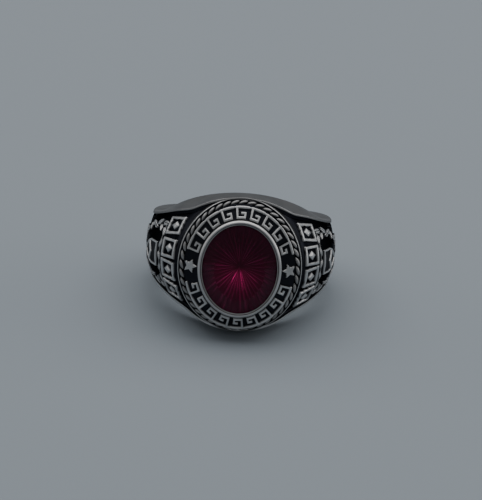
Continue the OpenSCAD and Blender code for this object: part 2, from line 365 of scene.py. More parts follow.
    def edge_r(self, a: np.ndarray) -> np.ndarray:
        """Radius of the rims: a smooth curve through the two tables and the shank.

        Args:
            a: Angles round the finger.

        Returns:
            The radius at each angle.
        """
        shares = np.concatenate([PLATFORM[:-1, 1], SHOULDER[:, 1]])
        walls = np.concatenate([
            mix(self.side_edge_wall, self.head_edge_wall, shares),
            mix(self.side_edge_wall, self.back_edge_wall, self.back_share(SHANK_ANGLES)),
        ])
        return self.hole_r + softened(a, self.wave_reach, lambda near: flowing(near, self.knots(), walls))

    def half_w(self, a: np.ndarray) -> np.ndarray:
        """Half width of the ring along the finger: a smooth curve through the same rows.

        Args:
            a: Angles round the finger.

        Returns:
            The half width at each angle.
        """
        widths = np.concatenate([
            mix(self.corner_w / 2, self.head_half_w, PLATFORM[:-1, 2]),
            mix(self.corner_w, self.side_w, SHOULDER[:, 2]) / 2,
            mix(self.side_w, self.back_w, self.back_share(SHANK_ANGLES)) / 2,
        ])
        return softened(a, self.wave_reach, lambda near: flowing(near, self.knots(), widths))

    def middle_r(self, a: np.ndarray) -> np.ndarray:
        """Radius of the ring's middle line: the flat platform, then the shoulder, then the shank.

        Args:
            a: Angles round the finger.

        Returns:
            The radius at each angle. On the platform it is the height over the angle's cosine.
        """
        flat = np.linspace(0.0, self.corner_angle, 7)[:-1]
        corner_r = self.platform_z / math.cos(math.radians(self.corner_angle))
        radii = np.concatenate([
            self.platform_z / np.cos(np.radians(flat)),
            mix(corner_r, self.hole_r + self.side_wall, SHOULDER[:, 3]),
            self.hole_r + mix(self.side_wall, self.back_wall, self.back_share(SHANK_ANGLES)),
        ])
        return flowing(a, np.concatenate([flat, self.shoulder_angles(), SHANK_ANGLES]), radii)

    def hole_half_w(self, a: np.ndarray) -> np.ndarray:
        """Half width at the finger hole: it swells from the side to the head with a power of the cosine.

        Args:
            a: Angles round the finger.

        Returns:
            The half width at each angle.
        """
        swell = softened(
            a, self.swell_reach, lambda near: np.clip(np.cos(np.radians(near)), 0.0, 1.0) ** self.swell_power
        )
        side = self.half_w(np.array(90.0))
        return self.half_w(np.maximum(a, 90.0)) + (self.head_half_w - side) * swell

    def panel_on(self, a: np.ndarray) -> np.ndarray:
        """1 where the shoulders have channels beside their panels, fading to 0 on the plain shank."""
        return smooth((self.panel_end - a) / self.panel_fade)

    def panel_dark(self, a: np.ndarray) -> np.ndarray:
        """1 where the shoulders' hollows are black, falling to 0 in the middle of the panels' fade."""
        low, high = self.dark_limits
        return smooth((self.panel_on(a) - low) / (high - low))

    def panel_half(self, a: np.ndarray) -> np.ndarray:
        """Half width of the raised panel between the channels."""
        return self.half_w(a) - mix(2 * self.edge, self.rim + self.channel_w, self.panel_on(a))

    def panel_r(self, a: np.ndarray, along: np.ndarray) -> np.ndarray:
        """Radius of the crowned panel: it falls with the square of the distance from the middle line."""
        fall = (self.middle_r(a) - self.edge_r(a)) * mix(*self.panel_fall, self.panel_on(a))
        return self.middle_r(a) - fall * (along / self.panel_half(a)) ** 2

    def arch(self, t: np.ndarray) -> np.ndarray:
        """How much lower the rope and the band's foot lie at an oval angle in radians."""
        return -self.arch_drop * np.sin(t) ** 2


SIZES = RingSizes()


# Meshes

def ring_points(angle: np.ndarray, radius: np.ndarray, along: np.ndarray) -> np.ndarray:
    """Points of the ring's own frame from the angle round the finger, the radius and the place along it."""
    rad = np.radians(angle)
    return np.stack([radius * np.sin(rad), -radius * np.cos(rad), along], axis=-1)


def head_points(x: np.ndarray, y: np.ndarray, z: np.ndarray) -> np.ndarray:
    """Points of the ring's own frame from the head's: across the ring, along the finger and outwards."""
    return np.stack(np.broadcast_arrays(x, -z, y), axis=-1)


def laid_down(points: np.ndarray) -> np.ndarray:
    """The ring's points in metres as it lies: turned back by the rest tilt, then raised on to the floor.

    Args:
        points: Points of the ring's own frame in millimetres, along the last axis.

    Returns:
        The points of the scene.
    """
    t = math.radians(SIZES.rest_tilt)
    x, y, z = points[..., 0], points[..., 1], points[..., 2]
    down_y = y * math.cos(t) + z * math.sin(t) + SIZES.centre_shift
    down_z = z * math.cos(t) - y * math.sin(t) + SIZES.rest_rise
    return np.stack([x, down_y, down_z], axis=-1) * MM


def grid_faces(rows: int, columns: int, wrap_rows: bool, wrap_columns: bool) -> np.ndarray:
    """Four-cornered faces between neighbouring rows and columns of a grid of points.

    Args:
        rows: Rows of the grid.
        columns: Columns of the grid.
        wrap_rows: Whether the last row joins the first.
        wrap_columns: Whether the last column joins the first.

    Returns:
        The faces as rows of point numbers, where a point's number is its row's first plus its column.
    """
    i = np.arange(rows if wrap_rows else rows - 1)[:, None]
    j = np.arange(columns if wrap_columns else columns - 1)[None, :]
    i2, j2 = (i + 1) % rows, (j + 1) % columns
    corners = (i * columns + j, i * columns + j2, i2 * columns + j2, i2 * columns + j)
    return np.stack([np.broadcast_to(c, (i.size, j.size)) for c in corners], axis=-1).reshape(-1, 4)


def end_fans(count: int, first: int, last: int, offset: int) -> tuple[np.ndarray, np.ndarray]:
    """Four-cornered faces that close two end rings, each about its own middle point.

    Args:
        count: Points in each ring, an even number.
        first: Number of the first ring's middle point.
        last: Number of the last ring's middle point.
        offset: Number of the last ring's first point.

    Returns:
        The first ring's faces and the last ring's.
    """
    j = np.arange(0, count, 2)
    fan = np.stack([j, (j + 1) % count, (j + 2) % count], axis=-1)
    low, high = (np.full((len(j), 1), middle) for middle in (first, last))
    return np.concatenate([fan[:, ::-1], low], axis=1), np.concatenate([fan + offset, high], axis=1)


def outward(points: np.ndarray, faces: np.ndarray) -> np.ndarray:
    """The faces, turned round if the closed skin holds a negative volume.

    The volume is a sixth of the sum, over its triangles, of the triple product of their corners.

    Args:
        points: The skin's points.
        faces: Its four-cornered faces.

    Returns:
        The faces with their outer side outwards.
    """
    p = points[faces]
    six = np.einsum("ij,ij->i", p[:, 0], np.cross(p[:, 1], p[:, 2]) + np.cross(p[:, 2], p[:, 3]))
    return faces if six.sum() > 0 else faces[:, ::-1]


@dataclass
class Skin:
    """A closed skin: a grid of points in the ring's own frame, joined in rows and columns."""

    points: np.ndarray
    dark: np.ndarray
    wrap_rows: bool = True

    def faces(self) -> np.ndarray:
        """Joins the grid; an open run of rows is closed by a fan about the middle point of each end row.

        Returns:
            The faces, where the two middle points are numbered after the grid's.
        """
        rows, columns = self.points.shape[:2]
        walls = grid_faces(rows, columns, self.wrap_rows, True)
        if self.wrap_rows:
            return walls
        first, last = end_fans(columns, rows * columns, rows * columns + 1, (rows - 1) * columns)
        return np.concatenate([walls, first, last])

    def to_object(self, name: str, crease: float) -> bpy.types.Object:
        """Makes the mesh object, with the dark share of each point as an attribute.

        Args:
            name: The piece's name.
            crease: Angle in degrees past which an edge shows sharp.

        Returns:
            The new object, linked to the scene.
        """
        flat, dark = self.points.reshape(-1, 3), self.dark.reshape(-1)
        if not self.wrap_rows:
            flat = np.concatenate([flat, self.points[[0, -1]].mean(axis=1)])
            dark = np.append(dark, (1.0, 1.0))
        flat = laid_down(flat)
        return new_object(name, flat, outward(flat, self.faces()), dark, crease)


def new_object(
    name: str, points: np.ndarray, faces: np.ndarray, dark: np.ndarray, crease: float
) -> bpy.types.Object:
    """A mesh object from arrays.

    Args:
        name: The piece's name.
        points: Its points in metres, one a row.
        faces: Its four-cornered faces as rows of point numbers.
        dark: How dark each point is, from 0 to 1.
        crease: Angle in degrees past which an edge shows sharp.

    Returns:
        The new object, linked to the scene.
    """
    mesh = bpy.data.meshes.new(name)
    mesh.vertices.add(len(points))
    mesh.vertices.foreach_set("co", points.astype(np.float32).ravel())
    mesh.loops.add(faces.size)
    mesh.loops.foreach_set("vertex_index", faces.astype(np.int32).ravel())
    mesh.polygons.add(len(faces))
    mesh.polygons.foreach_set("loop_start", np.arange(0, faces.size, 4, dtype=np.int32))
    mesh.update(calc_edges=True)
    mesh.validate()
    layer = mesh.attributes.new(DARK, "FLOAT", "POINT")
    layer.data.foreach_set("value", dark.astype(np.float32))
    mesh.shade_smooth()
    mesh.set_sharp_from_angle(angle=math.radians(crease))
    obj = bpy.data.objects.new(name, mesh)
    bpy.context.scene.collection.objects.link(obj)
    return obj


# Finishes

class Slot(Enum):
    """The record's material slots."""

    SILVER = "silver"
    STONE = "stone"


class Graph:
    """A new material's node tree, with short ways to fill it."""

    def __init__(self, name: str) -> None:
        """Starts a material, which has the usual shader.

        Args:
            name: Name of the material.
        """
        self.material = bpy.data.materials.new(name)
        self.material.use_nodes = True
        self.tree = self.material.node_tree
        self.shader = self.tree.nodes["Principled BSDF"]

    def put(self, node: bpy.types.Node, inputs: dict[str | int, Source]) -> None:
        """Fills a node's inputs.

        Args:
            node: The node.
            inputs: For each input's name or number, another node's output, a colour or a number.
        """
        for socket, source in inputs.items():
            if isinstance(source, bpy.types.NodeSocket):
                self.tree.links.new(source, node.inputs[socket])
            else:
                value = (*source, 1.0) if isinstance(source, tuple) else source
                node.inputs[socket].default_value = value

    def add(
        self, kind: str, output: str, inputs: dict[str | int, Source], **options: str
    ) -> bpy.types.NodeSocket:
        """Adds a node.

        Args:
            kind: Its type.
            output: Name of the output that is wanted.
            inputs: Its inputs, as for put.
            options: Its own options by their names.

        Returns:
            The wanted output.
        """
        node = self.tree.nodes.new(kind)
        for option, choice in options.items():
            setattr(node, option, choice)
        self.put(node, inputs)
        return node.outputs[output]

    def share(self, name: str) -> bpy.types.NodeSocket:
        """The value of a point attribute."""
        return self.add("ShaderNodeAttribute", "Fac", {}, attribute_name=name)

    def noise(self, scale: float, detail: float) -> bpy.types.NodeSocket:
        """Cloudy noise in the piece's own coordinates."""
        place = self.add("ShaderNodeTexCoord", "Object", {})
        return self.add("ShaderNodeTexNoise", "Fac", {"Vector": place, "Scale": scale, "Detail": detail})

    def blend(self, share: bpy.types.NodeSocket, low: Source, high: Source) -> bpy.types.NodeSocket:
        """A colour that turns from low to high with a share."""
        return self.add("ShaderNodeMix", "Result", {"Factor": share, "A": low, "B": high}, data_type="RGBA")

    def ranged(self, share: bpy.types.NodeSocket, low: Source, high: Source) -> bpy.types.NodeSocket:
        """A number that goes from low to high with a share."""
        return self.add("ShaderNodeMapRange", "Result", {"Value": share, "To Min": low, "To Max": high})


@dataclass(frozen=True)
class AntiquedSilver:
    """Cast silver, polished on its high places, with black left in its hollows.

    A point's dark share turns it from silver to black, and its glancing colour with it: patina in the
    hollows, painted shade on the side wall and the upper rim, and a darker ridge at the head's two ends. A
    cloudy noise tarnishes it in patches, where it lies in the cloud's range, and a fine grain varies its
    gloss.
    """

    name: str = "antiqued_silver"
    silver: Colour = (0.57, 0.565, 0.56)
    tarnish: Colour = (0.48, 0.475, 0.47)
    black: Colour = (0.02, 0.021, 0.026)
    rim_silver: Colour = (1.0, 1.0, 1.0)
    rim_black: Colour = (0.12, 0.12, 0.13)
    silver_rough: float = 0.32
    black_rough: float = 0.30
    cloud: float = 320.0
    cloud_range: tuple[float, float] = (0.42, 0.68)
    grain: float = 2600.0
    grain_rough: float = 0.12
    dent: float = 0.05
    dent_depth: float = 0.0001

    def material(self) -> bpy.types.Material:
        """Builds the shader, with its colour, glancing colour, roughness and bump.

        Returns:
            The new material.
        """
        graph = Graph(self.name)
        shade = graph.share(DARK)
        cloud, grain = graph.noise(self.cloud, 3.0), graph.noise(self.grain, 2.0)
        low, high = self.cloud_range
        patch = graph.add("ShaderNodeMapRange", "Result", {"Value": cloud, "From Min": low, "From Max": high})
        gloss = graph.ranged(shade, self.silver_rough, self.black_rough)
        graph.put(graph.shader, {
            "Base Color": graph.blend(shade, graph.blend(patch, self.silver, self.tarnish), self.black),
            "Metallic": 1.0,
            "Specular Tint": graph.blend(shade, self.rim_silver, self.rim_black),
            "Roughness": graph.add(
                "ShaderNodeMath", "Value", {0: grain, 1: self.grain_rough, 2: gloss}, operation="MULTIPLY_ADD"
            ),
            "Normal": graph.add("ShaderNodeBump", "Normal", {
                "Height": grain, "Strength": self.dent, "Distance": self.dent_depth,
            }),
        })
        return graph.material


@dataclass(frozen=True)
class RedStone:
    """A clear wine-red gem on a red foil: glass of a high index whose body takes up green and blue.

    The dark share is 1 on the foiled pavilion, which mirrors what comes in through the crown. There the
    ray share turns the foil from its dark rough field to its bright polished lines, whose strength is partly
    painted highlight.
    """

    name: str = "red_stone"
    clear: Colour = (0.97, 0.30, 0.62)
    foil: Colour = (0.12, 0.005, 0.05)
    # Colour of the foil's bright lines, which carry painted highlight.
    line: Colour = (1.0, 0.14, 0.52)
    body: Colour = (0.75, 0.05, 0.40)
    density: float = 60.0
    mirror: Colour = (0.88, 0.36, 0.56)
    index: float = 1.56
    clear_rough: float = 0.02
    foil_rough: float = 0.45
    line_rough: float = 0.08

    def material(self) -> bpy.types.Material:
        """Builds a transmitting shader that turns to metal on the foil, and an absorbing body.

        Returns:
            The new material.
        """
        graph = Graph(self.name)
        foiled, ray = graph.share(DARK), graph.share(RAY)
        back_rough = graph.ranged(ray, self.foil_rough, self.line_rough)
        graph.put(graph.shader, {
            "Base Color": graph.blend(foiled, self.clear, graph.blend(ray, self.foil, self.line)),
            "Metallic": foiled,
            "Roughness": graph.ranged(foiled, self.clear_rough, back_rough),
            "Specular Tint": self.mirror,
            "IOR": self.index,
            "Transmission Weight": 1.0,
        })
        absorb = graph.add(
            "ShaderNodeVolumeAbsorption", "Volume", {"Color": self.body, "Density": self.density}
        )
        graph.put(graph.tree.nodes["Material Output"], {"Volume": absorb})
        return graph.material


@dataclass(frozen=True)
class PlainFloor:
    """A matt pale surface for the ring to lie on."""

    name: str = "pale_floor"
    colour: Colour = (0.295, 0.328, 0.36)
    rough: float = 0.9
    gloss: float = 0.1

    def material(self) -> bpy.types.Material:
        """Builds the matt shader.

        Returns:
            The new material.
        """
        graph = Graph(self.name)
        graph.put(graph.shader, {
            "Base Color": self.colour, "Roughness": self.rough, "Specular IOR Level": self.gloss,
        })
        return graph.material


def place_piece(obj: bpy.types.Object, made: bpy.types.Material, slot: Slot, node: str) -> bpy.types.Object:
    """Dresses a piece, seats it on the ring's body and lets it stand for a node.

    Args:
        obj: The finished piece.
        made: Its material.
        slot: Not used.
        node: The node that it stands for.

    Returns:
        The same piece.
    """
    obj.data.materials.append(made)
    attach(obj, "root")
    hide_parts(node)
    LOG.info("%s: %d faces", obj.name, len(obj.data.polygons))
    return obj


# Relief

@dataclass
class Relief:
    """Raised ornament on a surface, gathered figure by figure.

    Each figure is a flat shape with soft walls; where figures meet, the higher one counts. A figure's top is
    fully domed at the swell's depth inside its outline. Of its full height, a point is black up to the one
    dark limit and bright from the other.
    """

    shape: tuple[int, int]
    wall: float
    swell: float = 0.4
    dark_limits: tuple[float, float] = (0.45, 0.85)
    height: np.ndarray = field(init=False)

    def __post_init__(self) -> None:
        """Starts with a bare ground."""
        self.height = np.zeros(self.shape)

    def figure(self, depth: np.ndarray, height: float, dome: float = 0.03) -> None:
        """Adds a figure from its depth inside: a soft wall, then a top that swells a little.

        Args:
            depth: Distance inside the figure's outline.
            height: Height of the figure's edge.
            dome: How much the top swells towards its middle.
        """
        rise = smooth(depth / self.wall + 0.5) * (height + dome * smooth(depth / self.swell))
        self.height = np.maximum(self.height, rise)

    def groove(self, distance: np.ndarray, depth: float, width: float) -> None:
        """Cuts a round groove into what is there: a bell curve of the distance from its line."""
        cut = depth * np.exp(-((distance / width) ** 2))
        self.height = np.maximum(self.height - cut, 0.0)

    def dark(self, full: float) -> np.ndarray:
        """1 on the ground, falling to 0 near the tops, which are at the full height."""
        low, high = self.dark_limits
        return 1.0 - smooth((self.height / full - low) / (high - low))


def key_outline(w: float, h: float, b: float) -> np.ndarray:
    """Corners of one key of a fret, centred: a square spiral of even bars.

    Args:
        w: Width of the key.
        h: Height of the key.
        b: Width of its bars. The spiral's last arm is 2.1 to 3.4 of them in from the corner.

    Returns:
        The corners, one a row.
    """
    return np.array([
        [0, 0], [w, 0], [w, b], [b, b], [b, h - b], [w - 2 * b, h - b], [w - 2 * b, 3.4 * b],
        [2.1 * b, 3.4 * b], [2.1 * b, 2.4 * b], [w - b, 2.4 * b], [w - b, h], [0, h],
    ]) - np.array([w / 2, h / 2])


def star_outline(radius: float) -> np.ndarray:
    """Corners of a five-pointed star with one point up, whose inner corners lie half as far out.

    Args:
        radius: Distance of its points from its middle.

    Returns:
        The corners, one a row.
    """
    turn = np.radians(90 + 36 * np.arange(10))
    reach = np.where(np.arange(10) % 2 == 0, radius, radius * 0.5)
    return np.stack([reach * np.cos(turn), reach * np.sin(turn)], axis=-1)


def shield_outline(h: float) -> np.ndarray:
    """Corners of a plain shield, its point towards the back of the ring.

    Args:
        h: Its height. Its width is 0.72 of that.

    Returns:
        The corners, one a row.
    """
    w = h * 0.72
    side = np.array([[-0.5 * h, 0.5 * w], [0, 0.5 * w], [0.2 * h, 0.41 * w], [0.37 * h, 0.22 * w]])
    return np.concatenate([side, [[0.5 * h, 0.0]], side[::-1] * [1, -1]])


def leaf_depth(x: np.ndarray, y: np.ndarray, length: float, width: float) -> np.ndarray:
    """Depth inside a leaf that two equal arcs bound, pointed at both ends along x.

    Each arc's radius is the half length squared plus the half width squared, over the whole width.

    Args:
        x: Distance of each point from the leaf's middle, along it.
        y: Distance of each point from the leaf's middle, across it.
        length: Length of the leaf.
        width: Width of the leaf.

    Returns:
        The depth at each point, negative outside.
    """
    half, w = length / 2, width / 2
    radius = (half * half + w * w) / (2 * w)
    return radius - np.hypot(x, np.abs(y) + radius - w)


def bar_depth(x: np.ndarray, y: np.ndarray, end: tuple[float, float], half: float) -> np.ndarray:
    """Depth inside a round-ended bar: its half width less the distance from its middle line.

    Args:
        x: First coordinate of each point, from one end of the middle line.
        y: Second coordinate of each point, from the same end.
        end: The middle line's other end.
        half: Half the width of the bar.

    Returns:
        The depth at each point, negative outside.
    """
    dx, dy = end
    t = np.clip((x * dx + y * dy) / (dx * dx + dy * dy), 0.0, 1.0)
    return half - np.hypot(x - t * dx, y - t * dy)


# The casting

@dataclass
class Shank:
    """The plain shank, the shoulders' rims and channels, the side walls and the finger hole.

    The bore's edge is rounded through pairs of a rise above the bore and an inset from the side wall. The
    wall has a row at each of its shares. The rim's edge is pairs of a drop and an inset in shares of the
    edge's size, and the channel's floor is pairs of a share of its width and a rise. The crown is sunk
    under the head, and less so past the head's run. Before the panels' end it rises to its full height.
    """

    steps: int = 420
    head_drop: float = 1.5
    head_run: tuple[float, float] = (16.0, 26.0)
    panel_drop: float = 0.12
    panel_run: tuple[float, float] = (9.0, 4.0)
    crown_points: int = 13
    # Painted shade on the side wall: its dark share stands for a darker reflection of the surroundings.
    wall_painted_shade: float = 0.45
    # Painted shade on the upper rim, over the highlight of its rounded edge.
    upper_rim_painted_shade: float = 0.5
    bore_edge: tuple[tuple[float, float], ...] = ((0.0, 0.55), (0.03, 0.3), (0.12, 0.1))
    wall_rise: float = 0.3
    wall_shares: tuple[float, ...] = (0.0, 0.02, 0.33, 0.67, 1.0)
    rim_edge: tuple[tuple[float, float], ...] = ((0.3, 0.12), (0.06, 0.4), (0.0, 0.8))
    channel: tuple[tuple[float, float], ...] = ((0.16, 0.05), (0.5, 0.0), (0.85, 0.02))
    rim_columns: tuple[int, int] = (10, 14)

    def section(self, a: np.ndarray) -> tuple[np.ndarray, np.ndarray, np.ndarray]:
        """Half of the outline at each angle: bore, rounded edge, side wall, rim, channel, then the crown.

        Args:
            a: Angles in degrees from the head's middle, from 0 to 180.

        Returns:
            Radius, place along the finger and dark share, each with a row for each angle.
        """
        s, e = SIZES, SIZES.edge
        w, w0, r, p, on = s.half_w(a), s.hole_half_w(a), s.edge_r(a), s.panel_half(a), s.panel_on(a)
        flat = np.zeros_like(a)
        # The side wall takes painted shade, and black is the patina of the channels.
        wall, black = flat + self.wall_painted_shade, s.panel_dark(a)
        lip = w - mix(1.3 * e, s.rim, on)
        top = mix(r, s.panel_r(a, lip), 1 - on)
        floor = r - s.channel_depth * on
        (start, end), (before, done) = self.head_run, self.panel_run
        sunk = mix(self.head_drop, self.panel_drop, smooth((a - start) / (end - start)))
        drop = sunk * smooth((s.panel_end - done - a) / (before - done))
        rows = [(s.hole_r + flat, flat, flat), (s.hole_r + flat, w0 * 0.5, flat)]
        rows += [(s.hole_r + rise, w0 - inset, flat) for rise, inset in self.bore_edge]
        foot = s.hole_r + self.wall_rise
        rows += [(mix(foot, r - e, share), mix(w0, w, share), wall) for share in self.wall_shares]
        rows += [(r - down * e, w - inset * e, flat) for down, inset in self.rim_edge]
        rows += [(top, lip, flat), (mix(top, floor, 0.25), lip - 0.02, black * 0.5)]
        rows += [(floor + rise * on, mix(lip, p, share), black) for share, rise in self.channel]
        for share in np.linspace(1.0, 0.0, self.crown_points):
            rows.append((s.panel_r(a, p * share) - drop, p * share, black))
        return tuple(np.stack(np.broadcast_arrays(*column), axis=-1) for column in zip(*rows))

    def skin(self) -> Skin:
        """Carries the half outline and its mirror image round the finger.

        Returns:
            The closed skin. The upper rim is darker than the lower one, with painted shade over its
            highlight.
        """
        a = np.linspace(0, 360, self.steps, endpoint=False)
        radius, along, dark = self.section(np.where(a > 180, 360 - a, a))
        mirrored, rim = slice(-2, 0, -1), slice(*self.rim_columns)
        upper = dark.copy()
        # Painted shade on the upper rim's columns.
        upper[:, rim] = np.maximum(upper[:, rim], self.upper_rim_painted_shade)
        radius = np.concatenate([radius, radius[:, mirrored]], axis=1)
        along = np.concatenate([along, -along[:, mirrored]], axis=1)
        dark = np.concatenate([upper, dark[:, mirrored]], axis=1)
        return Skin(ring_points(a[:, None], radius, along), dark)


@dataclass
class PanelDrawing:
    """The relief on a shoulder's panel, drawn in distances along its surface.

    Each point's distances are the sums of the surface's steps round the ring and along the finger. A step
    is the root of its squares in radius and in place. Heights are shares of the relief's own, and a leaf's
    width is a share of its length.
    """

    angle: np.ndarray
    along: np.ndarray
    wall: float = 0.12
    stem_half: float = 0.09
    stem_h: float = 0.7
    leaf_slim: float = 0.44
    leaf_h: float = 0.75
    leaf_dome: float = 0.06
    vein_depth: float = 0.12
    vein_w: float = 0.05
    relief: Relief = field(init=False)
    arc: np.ndarray = field(init=False)
    over: np.ndarray = field(init=False)

    def __post_init__(self) -> None:
        """Adds up the steps, and starts with a bare ground."""
        radius = SIZES.panel_r(self.angle, self.along)
        turn, across = np.radians(np.gradient(self.angle, axis=0)), np.gradient(self.along, axis=1)
        fall = np.gradient(radius, axis=1) / across
        self.arc = np.cumsum(np.hypot(radius * turn, np.gradient(radius, axis=0)), axis=0)
        self.over = np.cumsum(across * np.hypot(1, fall), axis=1)
        self.over -= self.over[:, self.over.shape[1] // 2][:, None]
        self.relief = Relief(self.angle.shape, self.wall)

    def nearest(self, angle: float, place: float) -> tuple[int, int]:
        """The row and the column of the point nearest to an angle and a place along the finger."""
        row = int(np.argmin(np.abs(self.angle[:, 0] - angle)))
        return row, int(np.argmin(np.abs(self.along[row] - place)))

    def local(self, angle: float, place: float) -> tuple[np.ndarray, np.ndarray]:
        """Distances of all points from one of them, round the ring and along the finger."""
        row, column = self.nearest(angle, place)
        return self.arc - self.arc[row][None, :], self.over - self.over[:, column][:, None]

    def add_leaf(self, angle: float, place: float, turn: float, length: float) -> None:
        """Adds a leaf with a groove down its middle.

        Args:
            angle: Angle of the leaf's middle.
            place: Its place along the finger.
            turn: Degrees by which the leaf is turned from the way round the ring.
            length: Length of the leaf.
        """
        x, y = turned(*self.local(angle, place), turn)
        depth = leaf_depth(x, y, length, length * self.leaf_slim)
        self.relief.figure(depth, SIZES.relief_h * self.leaf_h, self.leaf_dome)
        self.relief.groove(np.where(depth > 0, y, np.inf), self.vein_depth, self.vein_w)

    def add_stem(self, places: list[tuple[float, float]]) -> None:
        """Adds a thin bar from each place to the next.

        Args:
            places: The stem's places, as angles and places along the finger.
        """
        for start, end in zip(places, places[1:]):
            x, y = self.local(*start)
            there = self.nearest(*end)
            depth = bar_depth(x, y, (x[there], y[there]), self.stem_half)
            self.relief.figure(depth, SIZES.relief_h * self.stem_h, 0.0)


@dataclass
class ShoulderPanel:
    """The crowned, ornamented panel of one shoulder.

    Its ornament is a row of framed lozenges by the head, an ear of five leaves, a plain shield between two
    laurel sprays, and a palmette where the panel runs out. A spray's leaves are given by their degrees from
    the shield, their share of the half width and their turn. Each has a smaller twin, given by how much
    further round it is, how much further in, how much more it is turned, and its share of the length.
    A lozenge's height and width are shares of its frame's. The rises are shares of the relief's height.
    """

    side: int = 1
    round_steps: int = 380
    along_steps: int = 244
    start: float = 20.0
    lap: float = 1.5
    thickness: float = 0.35
    under_step: int = 27
    end_sink: float = 0.14
    end_run: float = 4.0
    rosettes: tuple[float, ...] = (-1.5, -0.5, 0.5, 1.5)
    lozenge_shares: tuple[float, float] = (0.58, 0.52)
    lozenge_rise: float = 0.6
    lozenge_dome: float = 0.16
    shield_rise: float = 0.55
    shield_edge: float = 0.3
    chevron_w: float = 0.34
    chevron_slope: float = 0.75
    chevron_shift: float = 0.25
    leaves: tuple[tuple[float, float, float], ...] = (
        (-11, 0.8, 12), (-3, 0.84, -22), (6, 0.82, 20), (15, 0.6, -24), (23, 0.62, 12),
    )
    twin: tuple[float, float, float, float] = (3.6, 0.14, 42.0, 0.8)
    stem_inset: float = 0.06
    ear_turn: float = 16.4
    ear_leaves: tuple[tuple[int, float], ...] = ((-2, 65.0), (-1, 115.0), (0, 65.0), (1, 115.0), (2, 65.0))
    ear_step: float = 1.55
    ear_reach: float = 3.9
    ear_length: float = 0.85
    palm_turns: tuple[float, ...] = (-64.0, -34.0, 0.0, 34.0, 64.0)
    palm_turn: float = 29.0
    palm_leaf: float = 1.15
    palm_middle: float = 1.4
    palm_w: float = 0.52
    palm_gap: float = 0.35
    palm_rise: float = 0.75
    palm_dome: float = 0.05
    boss_r: float = 0.36
    boss_rise: float = 0.7
    boss_dome: float = 0.1

    def add_rosettes(self, drawing: PanelDrawing) -> None:
        """Draws the row of framed lozenges.

        Args:
            drawing: What they are added to.
        """
        s = SIZES
        row_step = float(s.panel_half(np.array([s.rosette_angle]))[0]) / 2
        u, v = s.rosette_h * self.lozenge_shares[0] / 2, s.rosette_w * self.lozenge_shares[1] / 2
        for k in self.rosettes:
            x, y = drawing.local(s.rosette_angle, k * row_step)
            outer = np.minimum(s.rosette_h / 2 - np.abs(x), s.rosette_w / 2 - np.abs(y))
            drawing.relief.figure(np.minimum(outer, s.frame_w - outer), s.relief_h)
            lozenge = (1 - np.abs(x) / u - np.abs(y) / v) * u * v / math.hypot(u, v)
            drawing.relief.figure(lozenge, s.relief_h * self.lozenge_rise, self.lozenge_dome)

    def add_shield(self, drawing: PanelDrawing) -> None:
        """Draws the plain shield with its raised edge and a chevron.

        Args:
            drawing: What it is added to.
        """
        s = SIZES
        x, y = drawing.local(s.shield_angle, 0.0)
        shield = inside_depth(x, y, shield_outline(s.shield_h))
        drawing.relief.figure(shield, s.relief_h * self.shield_rise, 0.0)
        drawing.relief.figure(np.minimum(shield, self.shield_edge - shield), s.relief_h)
        chevron = np.abs(x + self.chevron_shift - np.abs(y) * self.chevron_slope)
        drawing.relief.figure(np.minimum(self.chevron_w - chevron, shield), s.relief_h, 0.02)

    def add_spray(self, drawing: PanelDrawing, hand: int) -> None:
        """Draws one laurel spray: its leaves, their twins and its stem.

        Args:
            drawing: What it is added to.
            hand: 1 for the spray on the ring's upper side, and -1 for the other.
        """
        s, stem = SIZES, []
        round_by, in_by, turn_by, length_by = self.twin
        for angle, share, turn in self.leaves:
            spot = s.shield_angle + angle
            width = float(s.panel_half(np.array([spot]))[0])
            drawing.add_leaf(spot, width * share * hand, turn * hand, s.leaf_l)
            drawing.add_leaf(
                spot + round_by, width * (share - in_by) * hand, (turn + turn_by) * hand, s.leaf_l * length_by
            )
            stem.append((spot, width * (share - self.stem_inset) * hand))
        drawing.add_stem(stem)

    def add_ear(self, drawing: PanelDrawing) -> None:
        """Draws the ear of leaves that lies along the finger, on a straight stem.

        Args:
            drawing: What it is added to.
        """
        ear = SIZES.corner_angle + self.ear_turn
        for k, turn in self.ear_leaves:
            drawing.add_leaf(ear, self.ear_step * k, turn, SIZES.leaf_l * self.ear_length)
        drawing.add_stem([(ear, -self.ear_reach), (ear, self.ear_reach)])

    def add_palmette(self, drawing: PanelDrawing) -> None:
        """Draws a fan of plain leaves round a boss, the middle one longer.

        Args:
            drawing: What it is added to.
        """
        s = SIZES
        x, y = drawing.local(s.shield_angle + self.palm_turn, 0.0)
        for turn in self.palm_turns:
            lx, ly = turned(x, y, turn)
            reach = self.palm_leaf if turn else self.palm_middle
            depth = leaf_depth(lx - reach / 2 - self.palm_gap, ly, reach, self.palm_w)
            drawing.relief.figure(depth, s.relief_h * self.palm_rise, self.palm_dome)
        boss = self.boss_r - np.hypot(x, y)
        drawing.relief.figure(boss, s.relief_h * self.boss_rise, self.boss_dome)

    def ornament(self, a: np.ndarray, along: np.ndarray) -> Relief:
        """Draws the panel's whole relief.

        Args:
            a: Angle of each point.
            along: Place of each point along the finger.

        Returns:
            The gathered relief.
        """
        drawing = PanelDrawing(a, along)
        self.add_rosettes(drawing)
        self.add_shield(drawing)
        self.add_spray(drawing, -1)
        self.add_spray(drawing, 1)
        self.add_ear(drawing)
        self.add_palmette(drawing)
        return drawing.relief

